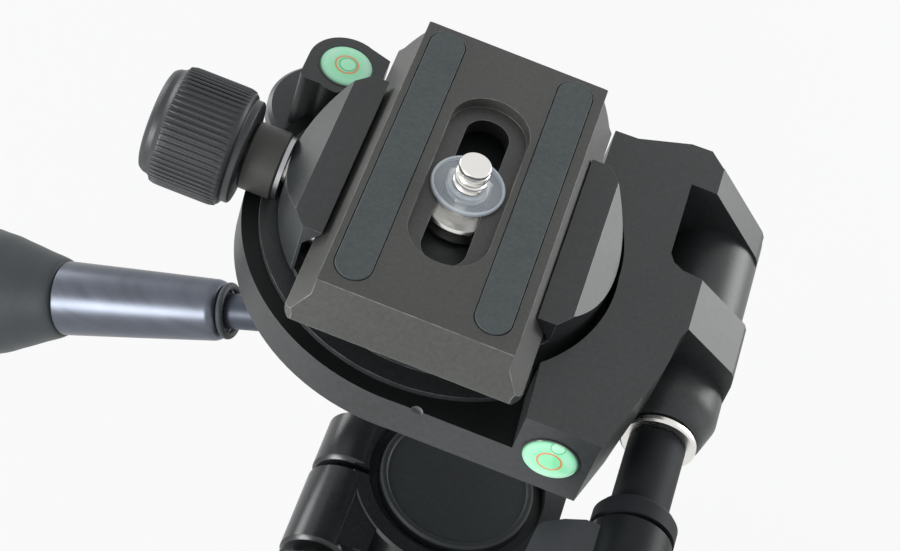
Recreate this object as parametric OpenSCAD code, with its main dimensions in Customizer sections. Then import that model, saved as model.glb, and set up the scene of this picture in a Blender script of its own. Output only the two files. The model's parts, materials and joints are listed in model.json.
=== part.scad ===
// Three way pan tilt head: pan about Z, tilt about Y, portrait turn about X.
// Millimetres. Origin at the middle of the base face, on the pan axis, +Z up.
// Right of the camera plate is +X, the long main handle leaves to -X, the side handle to -Y.

/* [Overall] */
// height of the plate's top face above the base face
total_h = 120; // [110:1:130]
// how far the plate's middle sits left of the pan axis
plate_off = 21; // [15:1:25]
// running clearance of the three main joints, on the radius
run_gap = 0.05; // [0.02:0.01:0.1]
// axial gap between faces that turn past each other
face_gap = 0.3; // [0.2:0.05:0.5]

/* [Base] */
// radius of the fixed foot
foot_r = 28; // [26:1:32]
// height of the fixed foot
foot_h = 8; // [6:0.5:10]
// radius of the tripod stud hole (3/8 inch)
socket_r = 4.7625; // [3:0.1:5]
// depth of the tripod stud hole
socket_depth = 11; // [9:0.5:14]
// radius of the fixed pan post
post_r = 17.5; // [15:0.5:18]

/* [Pan housing] */
// outer radius of the pan housing
pan_r = 23.7; // [22:0.1:25]
// radial thickness of the friction sleeve
sleeve_t = 2.1; // [1.5:0.1:2.5]
// height of the top of the pan housing
pan_top = 28; // [26:0.5:30]
// width of the clamping slit
slit_w = 1.5; // [1:0.1:2]
// radius of the two ear bosses
ear_r = 8; // [7:0.5:9]

/* [Tilt] */
// tilt axis right of the pan axis
tilt_x = 6.5; // [5:0.5:8]
// tilt axis below the plate's top
tilt_d = 55.5; // [54:0.5:60]
// radius of the fixed tilt drum
drum_r = 9.95; // [8:0.05:11]
// outer radius of the tilt ring
tilt_r = 14; // [13:0.5:16]
// main handle's droop below level
droop = 25.6; // [20:0.1:30]

/* [Portrait turn] */
// portrait axis below the plate's top
port_d = 50; // [49:0.5:52]
// portrait and handle plane, behind the plate's middle
mid_y = 17.4; // [15:0.1:20]
// radius of the portrait stub
stub_r = 9.35; // [8:0.05:10]
// outer radius of the portrait ring
ring_r = 12.7; // [12:0.1:14]

/* [Platform] */
// radius of the round deck
deck_r = 40.3; // [38:0.1:42]
// top of the deck below the plate's top
deck_d = 20; // [18:0.5:22]
// top of the raised side below the plate's top
side_d = 10; // [8:0.5:12]
// bottom of the deck below the plate's top
floor_d = 28.5; // [27:0.5:30]
// radius of the hinge barrel at the right
barrel_r = 10; // [9:0.5:11]
// radius of a level's glass
vial_r = 5.35; // [4:0.05:6]

/* [Plate] */
// plate width at the top
plate_w = 38; // [34:1:42]
// plate width over the dovetail
tail_w = 46; // [42:1:50]
// plate length at the top
plate_l = 72; // [60:1:80]
// plate thickness
plate_t = 10.2; // [9:0.1:12]
// radius of the camera screw (1/4 inch)
screw_r = 3.175; // [3:0.005:4.8]
// thickness of the rubber strips
strip_t = 1.2; // [1:0.1:2]

/* [Knobs] */
// radius of the clamp knob
knob_r = 12; // [11:0.1:13]
// flutes round the clamp knob
knob_flutes = 60; // [40:2:72]
// clamp jaw travel
jaw_travel = 2; // [1:0.5:3]

/* [Handle] */
// radius of the handle rod
rod_r = 4; // [3:0.5:5]
// length of the handle from the tilt axis
handle_l = 209; // [150:1:230]
// largest radius of the grip
grip_r = 15; // [12:0.5:17]

/* [Hidden] */
$fn = 72;
e = 0.02;
tilt_z = total_h - tilt_d;
port_z = total_h - port_d;
bore_r = post_r + sleeve_t;
drum_bore = drum_r + run_gap;
ring_bore = stub_r + run_gap;
rod_bore = rod_r + 0.04;
barrel_x = 52;
barrel_zp = -29.5;
bolt_r = 3.95;
tilt_y0 = 7;
tilt_y1 = 30;
cheek_y0 = 31;
cheek_y1 = 37;
arm_y1 = 36;
leg_y1 = 35;
knob_y = -1.5;
knob_zp = -14.5;
knob_end = deck_r + 1.7;
screw_hole = 3.05;
neck_r = screw_r - 0.3;
lug_x = 9 - deck_r;
lug_y = 25.6;
lug_r = 7.8;
jaw_off = -1;
grip_z = 115.5;
grip_l = handle_l - 4.1 - grip_z;
jaw_r = 32.6;
jaw_d = 5;
ear_x = -23;
ear_z = 20.5;

// ---------- helpers ----------
module at_plate() { translate([-plate_off, 0, total_h]) children(); }
module at_barrel() { at_plate() translate([barrel_x, 0, barrel_zp]) children(); }
module along_y(y0, y1, r) { translate([0, y0, 0]) rotate([-90, 0, 0]) cylinder(h = y1 - y0, r = r); }
module along_x(x0, x1, r) { translate([x0, 0, 0]) rotate([0, 90, 0]) cylinder(h = x1 - x0, r = r); }
// turns about +Y axis: profile points are [radius, y]
module lathe_y(pts) { rotate([-90, 0, 0]) rotate_extrude() polygon(pts); }
// profile points are [radius, x]
module lathe_x(pts) { rotate([0, 90, 0]) rotate_extrude() polygon(pts); }
// main handle frame: local +Z runs down the handle, from the tilt axis outward
module at_handle() {
  translate([tilt_x, mid_y, tilt_z]) rotate([0, -90 - droop, 0]) children();
}
module stadium(w, y0, y1, h) {
  r = w / 2;
  linear_extrude(height = h) union() {
    translate([0, y0 + r]) circle(r = r);
    translate([0, y1 - r]) circle(r = r);
    translate([-r, y0 + r]) square([w, y1 - y0 - w]);
  }
}
module flutes(r, depth, count, h) {
  step = 360 / count;
  linear_extrude(height = h) polygon([for (i = [0 : count - 1]) for (j = [0 : 3])
    let (a = i * step + [0, 0.3, 0.5, 0.8][j] * step, q = j < 2 ? r : r - depth) [q * cos(a), q * sin(a)]]);
}

// ---------- base ----------
module base_foot() color("#3c3d3f") difference() {
  rotate_extrude() polygon([[0, 0], [foot_r - 0.8, 0], [foot_r, 0.8], [foot_r, foot_h - 1],
    [foot_r - 1, foot_h], [0, foot_h]]);
  translate([0, 0, -e]) cylinder(h = foot_h + 2 * e, r = 7.5);
  for (a = [30, 150, 270]) rotate(a) translate([12.5, 0, -e]) {
    cylinder(h = foot_h + 2 * e, r = 1.6);
    cylinder(h = 3.05, r = 3.1);
  }
}
module base_socket() color("#b9b7b0") difference() {
  cylinder(h = 14, r = 7.5);
  translate([0, 0, -1]) cylinder(h = socket_depth + 1, r = socket_r);
}
module foot_screws() color("#a9abad") for (a = [30, 150, 270]) rotate(a) translate([12.5, 0, 0]) {
  translate([0, 0, 0.4]) difference() {
    cylinder(h = 2.6, r = 3);
    translate([0, 0, -e]) cylinder(h = 1.4, r = 1.4, $fn = 6);
  }
  translate([0, 0, 3]) cylinder(h = 9, r = 1.55);
}
module pan_post() color("#4b4c4e") difference() {
  union() {
    translate([0, 0, foot_h]) cylinder(h = 17.5, r = post_r);
    translate([0, 0, foot_h]) cylinder(h = 1.2, r = bore_r - 0.4);
  }
  translate([0, 0, foot_h - e]) cylinder(h = 6 + e, r = 7.5);
  for (a = [30, 150, 270]) rotate(a) translate([12.5, 0, foot_h - e]) cylinder(h = 4.2, r = 1.6);
}
module pan_cap() color("#505256") difference() {
  translate([0, 0, 25.5]) rotate_extrude() polygon([[0, 0], [17.3, 0], [17.3, 2], [16.8, 2.5],
    [16, 2.5], [15.6, 2.1], [0, 2.1]]);
}
module pan_friction_ring() color("#2a2b2d") difference() {
  translate([0, 0, foot_h + 1.5]) cylinder(h = 15.7, r = bore_r - 0.05);
  translate([0, 0, foot_h]) cylinder(h = 30, r = post_r + 0.03);
}

// ---------- pan body ----------
module pan_ear(y0, y1) {
  translate([ear_x, 0, ear_z]) lathe_y([[0, y0], [ear_r - 0.8, y0], [ear_r, y0 + 0.8],
    [ear_r, y1 - 0.8], [ear_r - 0.8, y1], [0, y1]]);
}
module pan_housing() color("#47484a") difference() {
  union() {
    translate([0, 0, foot_h + face_gap]) rotate_extrude() polygon([[0, 0], [pan_r - 0.6, 0], [pan_r, 0.6],
      [pan_r, pan_top - foot_h - face_gap - 0.6], [pan_r - 0.6, pan_top - foot_h - face_gap],
      [0, pan_top - foot_h - face_gap]]);
    // square right side and the carrier block behind
    translate([0, 0, foot_h + face_gap]) linear_extrude(height = pan_top - foot_h - face_gap)
      polygon([[8, -3], [22.6, -3], [24, 0], [24, 30], [17, cheek_y1], [-21.5, cheek_y1],
        [-23.5, cheek_y1 - 2], [-23.5, 27], [-12, 17], [-12, 12], [8, 12]]);
    pan_ear(-28, -7.2);
    pan_ear(-5.7, 8);
    translate([ear_x, -26, 12.8]) cube([10, 18.8, 14.9]);
    translate([ear_x, -5.7, 12.8]) cube([10, 12.5, 14.9]);
  }
  // lower shelf behind, which lets the hinge barrel's end pass
  translate([-9.5, 27.5, pan_top - 2.2]) cube([40, 12, 3]);
  // bore for the friction sleeve, flared at the top, clear right through
  translate([0, 0, foot_h]) cylinder(h = 40, r = bore_r);
  translate([0, 0, pan_top - 1.2]) cylinder(h = 3, r1 = bore_r, r2 = bore_r + 0.9);
  // slit and pan bolt hole
  translate([-34, -7.2, 8]) cube([34 - bore_r + 2, slit_w, 30]);
  translate([ear_x, 0, ear_z]) along_y(-30, 6.5, 3.05);
}
// arm that carries the tilt drum: its leg stands left of the hinge barrel's way round the tilt axis,
// and its round head is chamfered so that the deck passes behind it in the portrait turn
module tilt_arm() color("#47484a") translate([tilt_x, 0, tilt_z]) difference() {
  union() {
    lathe_y([[0, cheek_y0], [13.6, cheek_y0], [13.6, arm_y1 - 3], [9.4, arm_y1], [0, arm_y1]]);
    translate([0, leg_y1, 0]) rotate([90, 0, 0]) linear_extrude(height = leg_y1 - cheek_y0)
      polygon([[0, -13.4], [-14.5, -13.4], [-16.7, -15.6], [-16.7, pan_top - tilt_z], [-28.5, pan_top - tilt_z],
        [-28.5, -8], [-26, -4], [-9.4, 9.8], [0, 12]]);
  }
  // drum seat and its screw
  along_y(cheek_y0 - 1, arm_y1 - 3.5, 6.02);
  along_y(cheek_y0, arm_y1 + 1, 3.05);
  along_y(arm_y1 - 2.7, arm_y1 + 1, 5.6);
}
module tilt_drum() color("#8d9093") difference() {
  translate([tilt_x, 0, tilt_z]) union() {
    along_y(tilt_y0, cheek_y0, drum_r);
    along_y(cheek_y0 - e, arm_y1 - 3.6, 6);
    along_y(tilt_y1 + face_gap, cheek_y0, 13);
  }
  translate([tilt_x, 0, tilt_z]) along_y(20, 40, 2.55);
  translate([tilt_x, 0, tilt_z]) along_y(5, 16, 2.05);
}
module tilt_drum_screw() color("#a9abad") translate([tilt_x, 0, tilt_z]) difference() {
  union() {
    along_y(21, arm_y1 - 2, 2.5);
    along_y(arm_y1 - 2.6, arm_y1 + 0.2, 5.3);
  }
  rotate([-90, 0, 0]) translate([0, 0, arm_y1 - 1.6]) cylinder(h = 4, r = 2.6, $fn = 6);
}
module tilt_end_cap() color("#505256") translate([tilt_x, 0, tilt_z]) difference() {
  lathe_y([[0, 4.2], [11.8, 4.2], [12.6, 5], [12.6, tilt_y0 - face_gap], [9.4, tilt_y0 - face_gap],
    [9.4, tilt_y0], [0, tilt_y0]]);
  along_y(3, 9, 2.05);
  along_y(3, 5.2, 3.7);
}
module tilt_cap_screw() color("#a9abad") translate([tilt_x, 0, tilt_z]) difference() {
  union() {
    along_y(4.9, 15, 2);
    along_y(3.4, 5.1, 3.5);
  }
  rotate([-90, 0, 0]) translate([0, 0, 3]) cylinder(h = 1.4, r = 1.7, $fn = 6);
}
module pan_lock_bolt() color("#b4b6b8") translate([ear_x, 0, ear_z]) along_y(-44, 6, 3);
module pan_lock_knob() color("#2f3033") translate([ear_x, 0, ear_z]) difference() {
  union() {
    lathe_y([[0, -29.4], [5.5, -29.4], [5.5, -31.6], [9.6, -32.4], [9.6, -44.2], [8.4, -45.4], [0, -45.4]]);
    translate([0, -32.6, 0]) rotate([90, 0, 0]) flutes(10.6, 0.9, 24, 11.4);
  }
  along_y(-44.02, -20, 3.02);
}

// ---------- tilt body ----------
module tilt_housing() color("#454648") difference() {
  union() {
    translate([tilt_x, 0, tilt_z]) lathe_y([[0, tilt_y0], [tilt_r - 0.8, tilt_y0], [tilt_r, tilt_y0 + 0.8],
      [tilt_r, tilt_y1 - 0.8], [tilt_r - 0.8, tilt_y1], [0, tilt_y1]]);
    // block that joins the ring to the portrait flange
    translate([tilt_x - 4, 9, port_z - 11.8]) cube([17.2 - tilt_x + 4, 2 * (mid_y - 9), 23.6]);
    translate([0, mid_y, port_z]) along_x(15, 20.2, ring_r - 0.2);
    at_handle() cylinder(h = 32, r = 7.5);
    at_handle() translate([0, 0, 31.99]) cylinder(h = 2, r1 = 7.5, r2 = 6.2);
  }
  translate([tilt_x, 0, tilt_z]) along_y(0, 40, drum_bore);
  translate([0, mid_y, port_z]) along_x(17.4, 24, stub_r + 0.02);
  at_handle() translate([0, 0, 4]) cylinder(h = 40, r = rod_bore);
  translate([14.8, 0, port_z - 20]) cube([10, tilt_y0 + 0.1, 40]);
  translate([20.2, 0, port_z - 20]) cube([10, 40, 40]);
}
module tilt_brake_pad() color("#b08d57") intersection() {
  difference() {
    at_handle() translate([0, 0, 6]) cylinder(h = 8.1, r = rod_r);
    translate([tilt_x, 0, tilt_z]) along_y(0, 40, drum_bore + 0.03);
  }
}
module portrait_stub() color("#8d9093") difference() {
  translate([0, mid_y, port_z]) along_x(17.45, 39.05, stub_r);
  translate([0, mid_y, port_z]) along_x(26, 45, 2.55);
}
module portrait_washer() color("#d6d8d6") translate([0, mid_y, port_z]) difference() {
  along_x(20.25, 20.85, ring_r - 0.5);
  along_x(19, 23, stub_r + 0.05);
}
module portrait_cap() color("#505256") translate([0, mid_y, port_z]) difference() {
  lathe_x([[0, 39.1], [11.7, 39.1], [11.7, 40.5], [11, 41.2], [0, 41.2]]);
  along_x(38, 44, 2.55);
  along_x(39.9, 44, 4.7);
}
module portrait_screw() color("#a9abad") translate([0, mid_y, port_z]) difference() {
  union() {
    along_x(27, 40.5, 2.5);
    along_x(39.95, 41.5, 4.5);
  }
  translate([40.6, 0, 0]) rotate([0, 90, 0]) cylinder(h = 4, r = 2, $fn = 6);
}

// ---------- main handle ----------
module handle_rod() color("#54565a") at_handle() union() {
  translate([0, 0, 14.3]) cylinder(h = 1, r1 = rod_r - 1, r2 = rod_r);
  translate([0, 0, 15.29]) cylinder(h = handle_l - 15.29 - 14, r = rod_r);
}
module handle_locknut() color("#3a3b3d") at_handle() difference() {
  translate([0, 0, 34.4]) union() {
    cylinder(h = 4.5, r = 7, $fn = 6);
    translate([0, 0, 4.4]) cylinder(h = 1.6, r = 5.6);
  }
  cylinder(h = 80, r = rod_r + e);
}
module handle_ring() color("#1b1b1d") at_handle() difference() {
  translate([0, 0, 73.9]) rotate_extrude() translate([5.6, 0.8]) circle(r = 0.8, $fn = 24);
  cylinder(h = 80, r = rod_r + e);
}
module handle_sleeve() color("#4d5057") at_handle() difference() {
  translate([0, 0, 75.6]) rotate_extrude() polygon([[0, 0], [5.2, 0], [6.4, 0.5], [6.9, 1.8],
    [8.5, grip_z - 75.7], [0, grip_z - 75.7]]);
  translate([0, 0, 70]) cylinder(h = 50, r = rod_r + e);
}
module handle_grip() color("#2b2c2f") at_handle() difference() {
  translate([0, 0, grip_z]) rotate_extrude() polygon([[0, 0], [0.573 * grip_r, 0], [0.603 * grip_r, 0.5],
    [0.72 * grip_r, 5.5], [0.84 * grip_r, 11], [0.95 * grip_r, 17], [grip_r, 23],
    [grip_r, 29], [0.953 * grip_r, 0.47 * grip_l], [0.907 * grip_r, 0.7 * grip_l], [0.92 * grip_r, 0.9 * grip_l],
    [0.893 * grip_r, 0.96 * grip_l], [0.827 * grip_r, grip_l], [0, grip_l]]);
  translate([0, 0, grip_z - 10]) cylinder(h = grip_l + 20, r = rod_r + e);
}
module handle_end_cap() color("#3a3b3d") at_handle() translate([0, 0, handle_l - 4]) rotate_extrude()
  polygon([[0, -8], [rod_r - 0.1, -8], [rod_r - 0.1, 0], [0.773 * grip_r, 0], [0.773 * grip_r, 1.6],
    [0.693 * grip_r, 3.2], [grip_r / 2, 4.3], [0, 4.6]]);

// ---------- platform ----------
module deck_outline() {
  circle(r = deck_r);
  polygon([[0, -deck_r + 0.1], [39.7, -deck_r + 0.1], [43.7, -27.3], [47, -15.9], [48, -8.5], [48.9, -6.2],
    [48.9, 6.8], [44.7, 7.2], [42.6, 8.4], [41.5, 10.4], [41.5, 29.9], [47, 29.9], [46.8, 37.4],
    [43.7, 40.8], [39.3, 40.6], [28.5, 36.5], [21.9, 36.2], [0, 30]]);
}
module side_area() {
  difference() {
    polygon([[24.3, -27.6], [25.1, -deck_r - 1], [70, -deck_r - 1], [70, 50], [tail_w / 2 + 0.6, 50],
      [tail_w / 2 + 0.6, 0]]);
    circle(r = jaw_r + 0.7);
    translate([0, -4]) circle(r = 33.5);
  }
}
// a strap over the barrel: top corner, then the slope's low end
module strap(y0, y1, top, low) {
  translate([0, y1, 0]) rotate([90, 0, 0]) linear_extrude(height = y1 - y0)
    polygon([[40.5, -side_d], [top, -side_d], low, low + [0.8, -1.4], low + [1.2, -4],
      [barrel_x + barrel_r - 0.2, barrel_zp], [barrel_x, barrel_zp + 1], [46, -floor_d], [40.5, -floor_d]]);
}
// plan of the level lug: round at the far left, square to the jaw, run out to the plate's flank
module lug_plan(grow) {
  translate([lug_x, lug_y]) union() {
    circle(r = lug_r + grow);
    translate([-lug_r + 1.6, -7 + 1.6]) circle(r = 1.6 + grow);
    polygon([[-lug_r - grow, -5.4], [-6.2, -5.4], [-6.2, -7 - grow], [7.6 + grow, -7 - grow], [7.6 + grow, 5.7],
      [1.5, 7.65 + grow], [0, 0], [-lug_r - grow, 0]]);
  }
}
module platform() color("#47494a") difference() {
  at_plate() difference() {
    union() {
      translate([0, 0, -floor_d]) linear_extrude(height = floor_d - deck_d) deck_outline();
      translate([0, 0, -floor_d]) linear_extrude(height = floor_d - side_d)
        intersection() { deck_outline(); side_area(); }
      difference() {
        translate([0, 0, -floor_d]) linear_extrude(height = floor_d - side_d) lug_plan(0);
        translate([0, 0, -deck_d + 1.9]) linear_extrude(height = 20) polygon([[-10, 21.4],
          [-25.6 - jaw_travel, 21.4], [-31.4 - jaw_travel, 15], [-31.4 - jaw_travel, 0], [-10, 0]]);
      }
      strap(-6.2, 6.8, 48.6, [60.4, -17.6]);
      strap(29.9, 37.4, 47, [60, -23]);
      translate([barrel_x, 0, barrel_zp]) {
        lathe_y([[0, -18], [7.6, -18], [8.2, -17.4], [barrel_r, -12], [barrel_r, 7], [0, 7]]);
        along_y(8.5, 37.4, barrel_r - 0.3);
        lathe_y([[0, 37.3], [barrel_r - 0.8, 37.3], [barrel_r - 0.8, 38], [0, 38]]);
      }
      // portrait ring hung under the barrel
      translate([0, mid_y, port_z - total_h]) along_x(42, 59.8, ring_r);
      translate([42, mid_y - ring_r, port_z - total_h]) cube([17.8, 2.2, total_h - port_z + barrel_zp]);
      translate([42, 8.5, -45]) cube([17.8, 18, 14]);
    }
    // level cups
    translate([lug_x, lug_y, -side_d - 6]) cylinder(h = 10, r = vial_r + 0.4);
    translate([32.2, 0, -19]) along_y(-deck_r - 5, -deck_r + 6, vial_r + 0.4);
    // index half hole in the front top edge of the deck
    translate([6.3, -deck_r - 0.1, -deck_d - 0.8]) cylinder(h = 5, r = 1.2);
    // clamp base seat screws
    for (q = [[0, -15], [13, 9], [-13, 9]]) translate([q[0], q[1], -floor_d - 1]) {
      cylinder(h = 20, r = 2.05);
      cylinder(h = 4.4, r = 3.7);
    }
    // room for the side handle under the deck's near right corner
    translate([barrel_x, 0, barrel_zp]) along_y(-60, -18.02, 8.9);
    // side bolt bore
    translate([barrel_x, 0, barrel_zp]) along_y(-20, 34, bolt_r + 0.05);
    // portrait bore
    translate([0, mid_y, port_z - total_h]) along_x(38, 64, ring_bore);
    // clamping slit beside the near boss
    translate([41.4, 7, port_z - total_h]) cube([22, 1.5, total_h - port_z - deck_d + 8]);
  }
}
module clamp_base() color("#414344") at_plate() difference() {
  union() {
    intersection() {
      translate([0, 0, -deck_d + e]) cylinder(h = 1.2, r = 37);
      translate([-40, -40, -deck_d]) cube([64, 80, 4]);
      translate([0, 0, -deck_d]) linear_extrude(height = 5) difference() {
        circle(r = 37);
        offset_side();
      }
    }
    translate([0, 0, -deck_d + 0.5]) cylinder(h = deck_d - 0.5 - plate_t - 0.05, r = jaw_r);
    // fixed right jaw
    intersection() {
      translate([0, 0, -deck_d + 1]) cylinder(h = 16, r = jaw_r);
      jaw_section(1, 21.5);
    }
  }
  // room for the moving jaw and the level lug
  translate([-50, -50, -18]) cube([50 - 21.8, 100, 20]);
  translate([0, 0, -deck_d - 1]) linear_extrude(height = 20) lug_plan(0.03);
  // screw and spring holes
  translate([0, knob_y, knob_zp]) along_x(-30, -6, screw_hole);
  for (y = [-14, 14]) translate([0, y, knob_zp]) along_x(-30, -16, 2.4);
  for (q = [[0, -15], [13, 9], [-13, 9]]) translate([q[0], q[1], -deck_d - 1]) cylinder(h = 8, r = 1.65);
}
module offset_side() {
  difference() {
    polygon([[23.9, -27.6], [24.7, -50], [70, -50], [70, 50], [10, 50], [10, 30], [20, 0]]);
    circle(r = jaw_r + 0.35);
    translate([0, -4]) circle(r = 33.15);
  }
}
// one jaw's cross section, side = 1 right, -1 left
module jaw_section(side, half) {
  translate([0, half, 0]) rotate([90, 0, 0]) linear_extrude(height = 2 * half)
    polygon([[side * 20.8, -jaw_d], [side * 27.1, -jaw_d], [side * 32.6, -10], [side * 32.6, -deck_d + 1],
      [side * 23.9, -deck_d + 1], [side * 23.9, -9.6], [side * 20.8, -jaw_d - 0.4]]);
}
module clamp_base_screws() color("#a9abad") at_plate() for (q = [[0, -15], [13, 9], [-13, 9]])
  translate([q[0], q[1], 0]) difference() {
    union() {
      translate([0, 0, -floor_d + 0.5]) cylinder(h = 2.8, r = 3.5);
      translate([0, 0, -floor_d + 3.2]) cylinder(h = 11, r = 1.6);
    }
    translate([0, 0, -floor_d]) cylinder(h = 2, r = 1.5, $fn = 6);
  }
module clamp_bush() color("#2f3033") at_plate() intersection() {
  translate([0, knob_y, knob_zp]) difference() {
    lathe_x([[0, 0.3 - knob_end], [6.4, 0.3 - knob_end], [6.8, 0.7 - knob_end], [6.8, -35.1], [6.4, -34.75],
      [0, -34.75]]);
    along_x(-knob_end - 8, -30, screw_hole + 0.2);
  }
  translate([-60, -20, -deck_d + 1.4]) cube([40, 40, 20]);
}
module clamp_washer() color("#c4c6c8") at_plate() intersection() {
  translate([0, knob_y, knob_zp]) difference() {
    along_x(-34.7, -33.8, 6.3);
    along_x(-50, -30, screw_hole + 0.2);
  }
  translate([-60, -20, -deck_d + 1.4]) cube([40, 40, 20]);
}
module level_front_bezel() color("#c9ced2") at_plate() translate([32.2, 0, -19]) difference() {
  along_y(-deck_r - 0.1, -deck_r + 6, vial_r + 0.38);
  along_y(-deck_r - 5, -deck_r + 5.5, vial_r + 0.02);
}
module level_front_vial() color("#79a84b") at_plate() translate([32.2, 0, -19])
  along_y(-deck_r - 0.3, -deck_r + 5.4, vial_r);
module level_top_bezel() color("#c9ced2") at_plate() translate([lug_x, lug_y, 0]) difference() {
  translate([0, 0, -side_d - 5.9]) cylinder(h = 6, r = vial_r + 0.38);
  translate([0, 0, -side_d - 5.4]) cylinder(h = 10, r = vial_r + 0.02);
}
module level_top_vial() color("#79a84b") at_plate() translate([lug_x, lug_y, -side_d - 5.35])
  cylinder(h = 5.6, r = vial_r);
module lug_foot() color("#2f3033") at_plate() difference() {
  translate([lug_x, lug_y, -floor_d]) rotate_extrude() polygon([[0, 0], [12.4, 0], [13.4, 1], [13.4, 3.8],
    [12.6, 4.6], [0, 4.6]]);
  translate([0, 0, -floor_d - 1]) cylinder(h = 10, r = deck_r + e);
  translate([0, 0, -floor_d - 1]) linear_extrude(height = 10) lug_plan(e);
  translate([-25, 20, -floor_d - 1]) cube([60, 60, 10]);
}

// ---------- jaw and its knob ----------
module moving_jaw() color("#47494a") at_plate() difference() {
  intersection() {
    translate([jaw_off, 0, 0]) intersection() {
      translate([0, 0, -deck_d + 2.1]) cylinder(h = 20, r = jaw_r);
      jaw_section(-1, 21.5);
    }
    linear_extrude(height = 60, center = true) polygon([[-20.7, 21], [-25.2, 21], [-31, 14.8], [-40, 10],
      [-40, -12], [-31, -17.5], [-25.8, -22.3], [-20.7, -22.3]]);
  }
  translate([0, knob_y, knob_zp]) along_x(-50, -20, screw_hole + 0.2);
  for (y = [-14, 14]) translate([0, y, knob_zp]) along_x(-28.5, -20, 2.4);
}
module jaw_springs() color("#b4b6b8") at_plate() for (y = [-14, 14]) translate([0, y, knob_zp]) difference() {
  along_x(-27.2, -16.2, 2.2);
  along_x(-30, -14, 1.6);
}
module clamp_knob() color("#2f3033") at_plate() translate([-knob_end, knob_y, knob_zp]) difference() {
  union() {
    translate([-15.7, 0, 0]) rotate([0, 90, 0]) flutes(knob_r, 0.42, knob_flutes, 13.3);
    lathe_x([[0, -18.8], [8.8, -18.8], [9.9, -18.4], [10.5, -17.5], [10.6, -16.5], [knob_r - 0.5, -15.7],
      [knob_r - 0.5, -2.4], [knob_r - 0.9, -1.7], [10.4, -1.6], [10.4, -0.3], [10.1, 0], [0, 0]]);
  }
  along_x(-16.02, 2, screw_hole - 0.03);
}
module clamp_screw() color("#b4b6b8") at_plate() translate([0, knob_y, knob_zp])
  along_x(-knob_end - 16, -8, screw_hole - 0.05);

// ---------- side handle ----------
module side_bolt() color("#b4b6b8") at_barrel() union() {
  along_y(-44, 31, bolt_r);
}
module side_washer() color("#d9dadb") at_barrel() difference() {
  lathe_y([[0, -19.9], [7.1, -19.9], [7.5, -19.5], [7.5, -18.7], [7.1, -18.3], [0, -18.3]]);
  along_y(-22, -16, bolt_r + 0.02);
}
module side_sleeve() color("#1d1e20") at_barrel() difference() {
  lathe_y([[0, -38], [5.65, -38], [5.65, -20.5], [5.3, -19.95], [0, -19.95]]);
  along_y(-40, -16, bolt_r + 0.02);
}
module side_collar() color("#3a3b3d") at_barrel() difference() {
  lathe_y([[0, -42.4], [8.2, -42.4], [8.2, -39.2], [7.4, -38.05], [0, -38.05]]);
  along_y(-45, -16, bolt_r + 0.02);
}
module side_lever() color("#4a4e57") at_barrel() difference() {
  union() {
    lathe_y([[0, -62], [7, -62], [8, -61], [8, -43.4], [7.2, -42.45], [0, -42.45]]);
    translate([0, 0, -4.5]) linear_extrude(height = 9) polygon([[-17.6, -59], [-15, -62], [6, -62], [8, -60],
      [8, -48], [0, -45.6], [-9.4, -45.6], [-13.3, -47.2], [-16.8, -49.5], [-17.6, -50.8]]);
  }
  along_y(-44.02, -16, bolt_r + 0.02);
}

// ---------- plate ----------
module plate_body() {
  half = plate_l / 2;
  intersection() {
    translate([0, half + 2, 0]) rotate([90, 0, 0]) linear_extrude(height = plate_l + 10)
      polygon([[-plate_w / 2, 0], [plate_w / 2, 0], [plate_w / 2, -3], [tail_w / 2, -9],
        [tail_w / 2, -plate_t], [-tail_w / 2, -plate_t], [-tail_w / 2, -9], [-plate_w / 2, -3]]);
    translate([-40, 0, 0]) rotate([90, 0, 90]) linear_extrude(height = 80)
      polygon([[-half, 0], [half, 0], [half, -plate_t], [-half - 2.5, -plate_t], [-half - 3.1, -9.6],
        [-half - 3.1, -8]]);
    translate([0, 0, -20]) linear_extrude(height = 30) union() {
      translate([-tail_w / 2, -half + 1]) square([tail_w, plate_l - 3]);
      translate([-tail_w / 2 + 5, -half - 3.2]) square([tail_w - 10, plate_l + 3.2]);
      for (s = [-1, 1]) translate([s * (tail_w / 2 - 5), -half + 1]) circle(r = 5.2);
      for (s = [-1, 1]) translate([s * (tail_w / 2 - 5), half - 5]) circle(r = 5);
    }
  }
}
module quick_release_plate() color("#5a5b59") at_plate() difference() {
  plate_body();
  translate([0, 0, -2.5]) stadium(16, -22, 22, 5);
  translate([0, 0, -20]) stadium(8.8, -20.4, 18.6, 30);
  translate([0, 0, -plate_t - 1]) stadium(18.4, -25.4, 23.6, 5.3);
  translate([-13.9, 0, -strip_t]) stadium(7.5, -33.5, 35, 5);
  translate([13.1, 0, -strip_t]) stadium(7.5, -33.5, 35, 5);
}
module rubber_strip_left() color("#5b6166") at_plate() translate([-13.9, 0, -strip_t + e])
  stadium(7.4, -33.45, 34.95, strip_t + 0.25);
module rubber_strip_right() color("#5b6166") at_plate() translate([13.1, 0, -strip_t + e])
  stadium(7.4, -33.45, 34.95, strip_t + 0.25);
module retaining_washer() color("#9fb2c4") at_plate() difference() {
  translate([0, 0, -2.45]) cylinder(h = 0.9, r = 7.3);
  translate([0, 0, -4]) cylinder(h = 4, r = neck_r + 0.05);
}
module camera_screw() color("#c4c6c8") at_plate() difference() {
  union() {
    translate([0, 0, -3]) cylinder(h = 2, r = neck_r);
    translate([0, 0, -1.4]) cylinder(h = 5, r = screw_r);
    translate([0, 0, 3.59]) cylinder(h = 0.8, r1 = screw_r, r2 = screw_r - 0.8);
    translate([0, 0, -7]) cylinder(h = 4.5, r = 4.2);
    translate([0, 0, -plate_t + 0.5]) cylinder(h = 3.6, r = 8.4);
  }
  translate([-20, -0.9, -plate_t]) cube([40, 1.8, 2.4]);
}

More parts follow.
